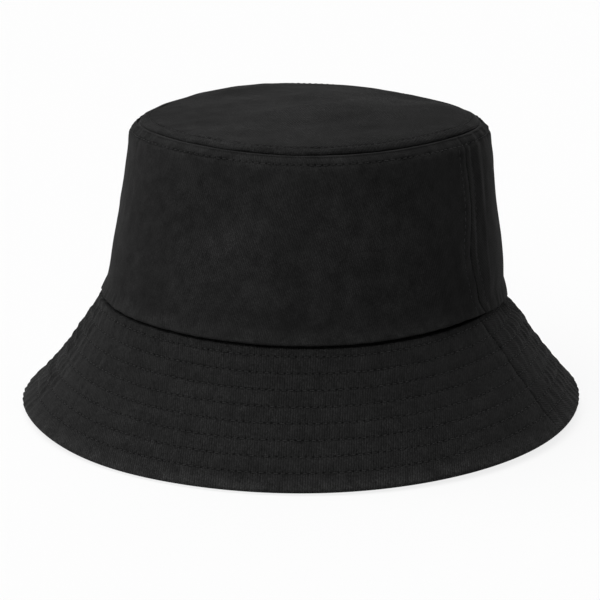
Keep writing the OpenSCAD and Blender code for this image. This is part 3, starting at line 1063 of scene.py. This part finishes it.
def thread_finish(name, colour):
    """Twisted thread with a few loose hairs."""
    g = Nodes(name)
    where, x, y = g.uv("cloth")
    twist = g.wave(g.math("ADD", x, g.times(y, 0.8)), 0.35 * MM)
    hair = g.noise(where, 5000, 2, 0.5)
    shade = g.math("ADD", g.math("MULTIPLY_ADD", twist, 0.25, 0.8), g.times(hair, 0.4))
    return g.finish(
        g.scaled(colour, shade), 0.5, g.bump(twist, 0.04 * MM),
        Specular_IOR_Level=0.1, Sheen_Weight=0.0075,
    )


def plain_weave(name, colour, pitch, depth=0.08 * MM, sheen=0.2, washed=0.12):
    """A plain weave of crossing yarns, for the tapes, the sweatband, the felt and the label."""
    g = Nodes(name)
    where, x, y = g.uv("cloth")
    crossed = g.times(g.wave(x, pitch), g.wave(y, pitch))
    weave = g.math("MULTIPLY_ADD", crossed, 0.5, 0.5)
    fuzz = g.noise(where, 2400, 3, 0.6)
    cloud = g.noise(g.object_space(), 60, 3, 0.5)
    shade = g.math("MULTIPLY_ADD", weave, 0.4, 0.8)
    shade = g.toned(shade, g.centred(fuzz), 0.7)
    shade = g.toned(shade, g.centred(cloud), 2.5 * washed)
    normal = g.bump(g.math("ADD", weave, g.times(fuzz, 0.6)), depth)
    return g.finish(
        g.scaled(colour, shade), 0.86, normal,
        Sheen_Weight=sheen, Sheen_Roughness=0.45, Specular_IOR_Level=0.2,
    )


# Painted shade darkens the crown's side towards the right, the back and the top; its hem edge is paler,
# partly from wear and partly as painted light
side_twill = twill_cloth(
    "side_twill", dyed=0.0084, cloudy=1.3, spotted=1.5, grainy=1.4, fuzzy=1.6, ribbed=0.45, slub=1,
    depth=0.00009, sheen=0.018, painted_ditch_shade=0.1, painted_shade=0.25, painted_shade_to=(1, 0.5, 0.6), painted_shade_over=(0.055, 0.13),
    wear_and_light=0.35, edge=(CONE_RADIUS + CROWN_H / 2) * MM,
)
# Painted shade darkens the brim towards the right and the back; its rim is paler, partly from wear and partly
# as painted light, and painted light and shade streak it where it puckers
brim_twill = twill_cloth(
    "brim_twill", dyed=0.0083, cloudy=0.5, spotted=1.3, grainy=2.2, fuzzy=2.6, ribbed=0.65, slub=0.8,
    sheen=0.035, painted_shade=0.1, wear_and_light=0.8, edge=(FLAT_RADIUS + BRIM_W) * MM, painted_pucker_shade=1.7,
)
# Painted shade darkens the tip towards the right, and lies deeper in the ditch of its row of stitching
tip_twill = twill_cloth(
    "tip_twill", dyed=0.0078, cloudy=2.0, spotted=1.7, grainy=2.6, fuzzy=3.2, ribbed=0.6, slub=0.6,
    sheen=0.04, painted_ditch_shade=0.55, painted_shade=0.45, painted_shade_to=(1, 0, 0), painted_shade_over=(-0.01, 0.07),
)
thread = thread_finish("black_thread", (0.0165, 0.0165, 0.0165))
band_cloth = plain_weave("band_cloth", (0.014, 0.014, 0.0145), 0.8 * MM, sheen=0.02)
tape_cloth = plain_weave("tape_cloth", (0.009, 0.009, 0.009), 0.5 * MM, sheen=0.0)
felt = plain_weave("off_white_felt", (0.55, 0.54, 0.5), 1.3 * MM, depth=0.1 * MM, sheen=0.3, washed=0.2)
satin = plain_weave("label_satin", (0.5, 0.5, 0.48), 0.35 * MM, depth=0.03 * MM, sheen=0.2, washed=0.05)


# ---- The pieces ----


def dress(obj, material, slot_name, *nodes):
    """Shows these nodes of the construction as this object."""
    obj.data.materials.append(material)
    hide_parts(*nodes)
    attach(obj, "root")


def sew(name, lines, node, seed=80):
    dress(threads(name, lines, seed), thread, "thread", node)


spans = {"front": (CROWN_SEAMS[1] - TAU, CROWN_SEAMS[0]), "back": CROWN_SEAMS}
for name, middle in (("front", 0.0), ("back", math.pi)):
    dress(crown_panel("side_cloth_" + name, middle, *spans[name]), side_twill, "twill", "crown_side_" + name)
    dress(brim_top("brim_cloth_" + name, middle), brim_twill, "twill", "brim_top_" + name)
    dress(brim_under("under_cloth_" + name, middle), brim_twill, "twill", "brim_under_" + name)
    dress(brim_stiffener("felt_" + name, middle), felt, "stiffener", "brim_stiffener_" + name)
dress(crown_tip("tip_cloth"), tip_twill, "twill", "crown_tip")
dress(sweatband("inner_band"), band_cloth, "sweatband_cloth", "sweatband")
dress(tip_tape("tip_tape"), tape_cloth, "tape", "tip_seam_tape")
for name, side in zip(("right", "left"), CROWN_SEAMS):
    lines = [side_line(side, away) for away in (-SIDE_STITCH, SIDE_STITCH)]
    dress(side_tape("side_tape_" + name, side), tape_cloth, "tape", "side_seam_tape_" + name)
    sew("side_threads_" + name, lines, "side_topstitch_" + name)
dress(blank_label("bare_label"), satin, "label", "blank_label")
sew("tip_threads", [tip_line()], "tip_topstitch")
sew("crown_threads", [crown_line()], "crown_topstitch")
sew("band_threads", [band_line()], "sweatband_stitch")
for row in range(ROWS):
    lines = [brim_line(row), brim_line(row, True)]
    sew("brim_threads_%d" % (row + 1), lines, "brim_stitch_row_%d" % (row + 1), 90 + row)


# ---- Stage, light and camera ----

FLOOR_REACH = 30.0  # metres from the middle to each side
SUN_SPREAD = 60.0  # angle in degrees over which each soft light is spread
AIM_Z = 65.0  # the height that the camera's place is measured from, before the hat is set down

floor_mesh = bpy.data.meshes.new("floor")
corners = [(x * FLOOR_REACH, y * FLOOR_REACH, 0) for x, y in ((-1, -1), (1, -1), (1, 1), (-1, 1))]
floor_mesh.from_pydata(corners, [], [(0, 1, 2, 3)])
floor = add_object("floor", floor_mesh)
paper = Nodes("pale_floor").finish(
    (0.08, 0.08, 0.08, 1), 0.9, None,
    Specular_IOR_Level=0.0, Emission_Color=(1, 1, 1, 1), Emission_Strength=0.825,
)
floor_mesh.materials.append(paper)

world = bpy.data.worlds.new("studio")
scene.world = world
world.use_nodes = True
sky = world.node_tree.nodes["Background"].inputs
sky["Color"].default_value = (1, 1, 1, 1)
sky["Strength"].default_value = 0.005


def axes(azimuth, elevation):
    """Right, up and backwards for a look in from that side; azimuth 0 is the front and 90 is +X."""
    a, e = math.radians(azimuth), math.radians(elevation)
    back = np.array([math.sin(a) * math.cos(e), -math.cos(a) * math.cos(e), math.sin(e)])
    right = np.array([math.cos(a), math.sin(a), 0.0])
    return right, np.cross(back, right), back


def stand(obj, right, up, back, spot=(0, 0, 0)):
    columns = np.column_stack([right, up, back, spot])
    obj.matrix_world = Matrix(np.vstack([columns, [0, 0, 0, 1]]).tolist())


def sun(name, azimuth, elevation, strength):
    light = bpy.data.lights.new(name, "SUN")
    light.energy = strength
    light.angle = math.radians(SUN_SPREAD)
    stand(add_object(name, light), *axes(azimuth, elevation))


sun("overhead", 0, 88, 2.71)
sun("left", -60, 45, 1.81)
sun("front", 10, 45, 2.29)
sun("behind_left", -140, 50, 0.89)

# The camera's direction in degrees, its place in millimetres and its lens
AZIMUTH, ELEVATION, TILT = 28.976, 15.056, 1.27
AWAY, ASIDE, ABOVE = 857.18, -3.059, -19.156
FOCAL_PIXELS, PICTURE_PIXELS, SENSOR = 1871.48, 600, 36

right, up, back = axes(AZIMUTH, ELEVATION)
spot = np.array([0, 0, AIM_Z - DOWN]) + back * AWAY + right * ASIDE + up * ABOVE
c, s = math.cos(math.radians(TILT)), math.sin(math.radians(TILT))
right, up = c * right + s * up, c * up - s * right
camera_data = bpy.data.cameras.new("camera")
camera_data.sensor_width = SENSOR
camera_data.lens = FOCAL_PIXELS * SENSOR / PICTURE_PIXELS
camera_data.clip_start, camera_data.clip_end = 0.01, 50
camera = add_object("camera", camera_data)
stand(camera, right, up, back, spot * MM)
scene.camera = camera
scene.view_settings.view_transform = "Standard"
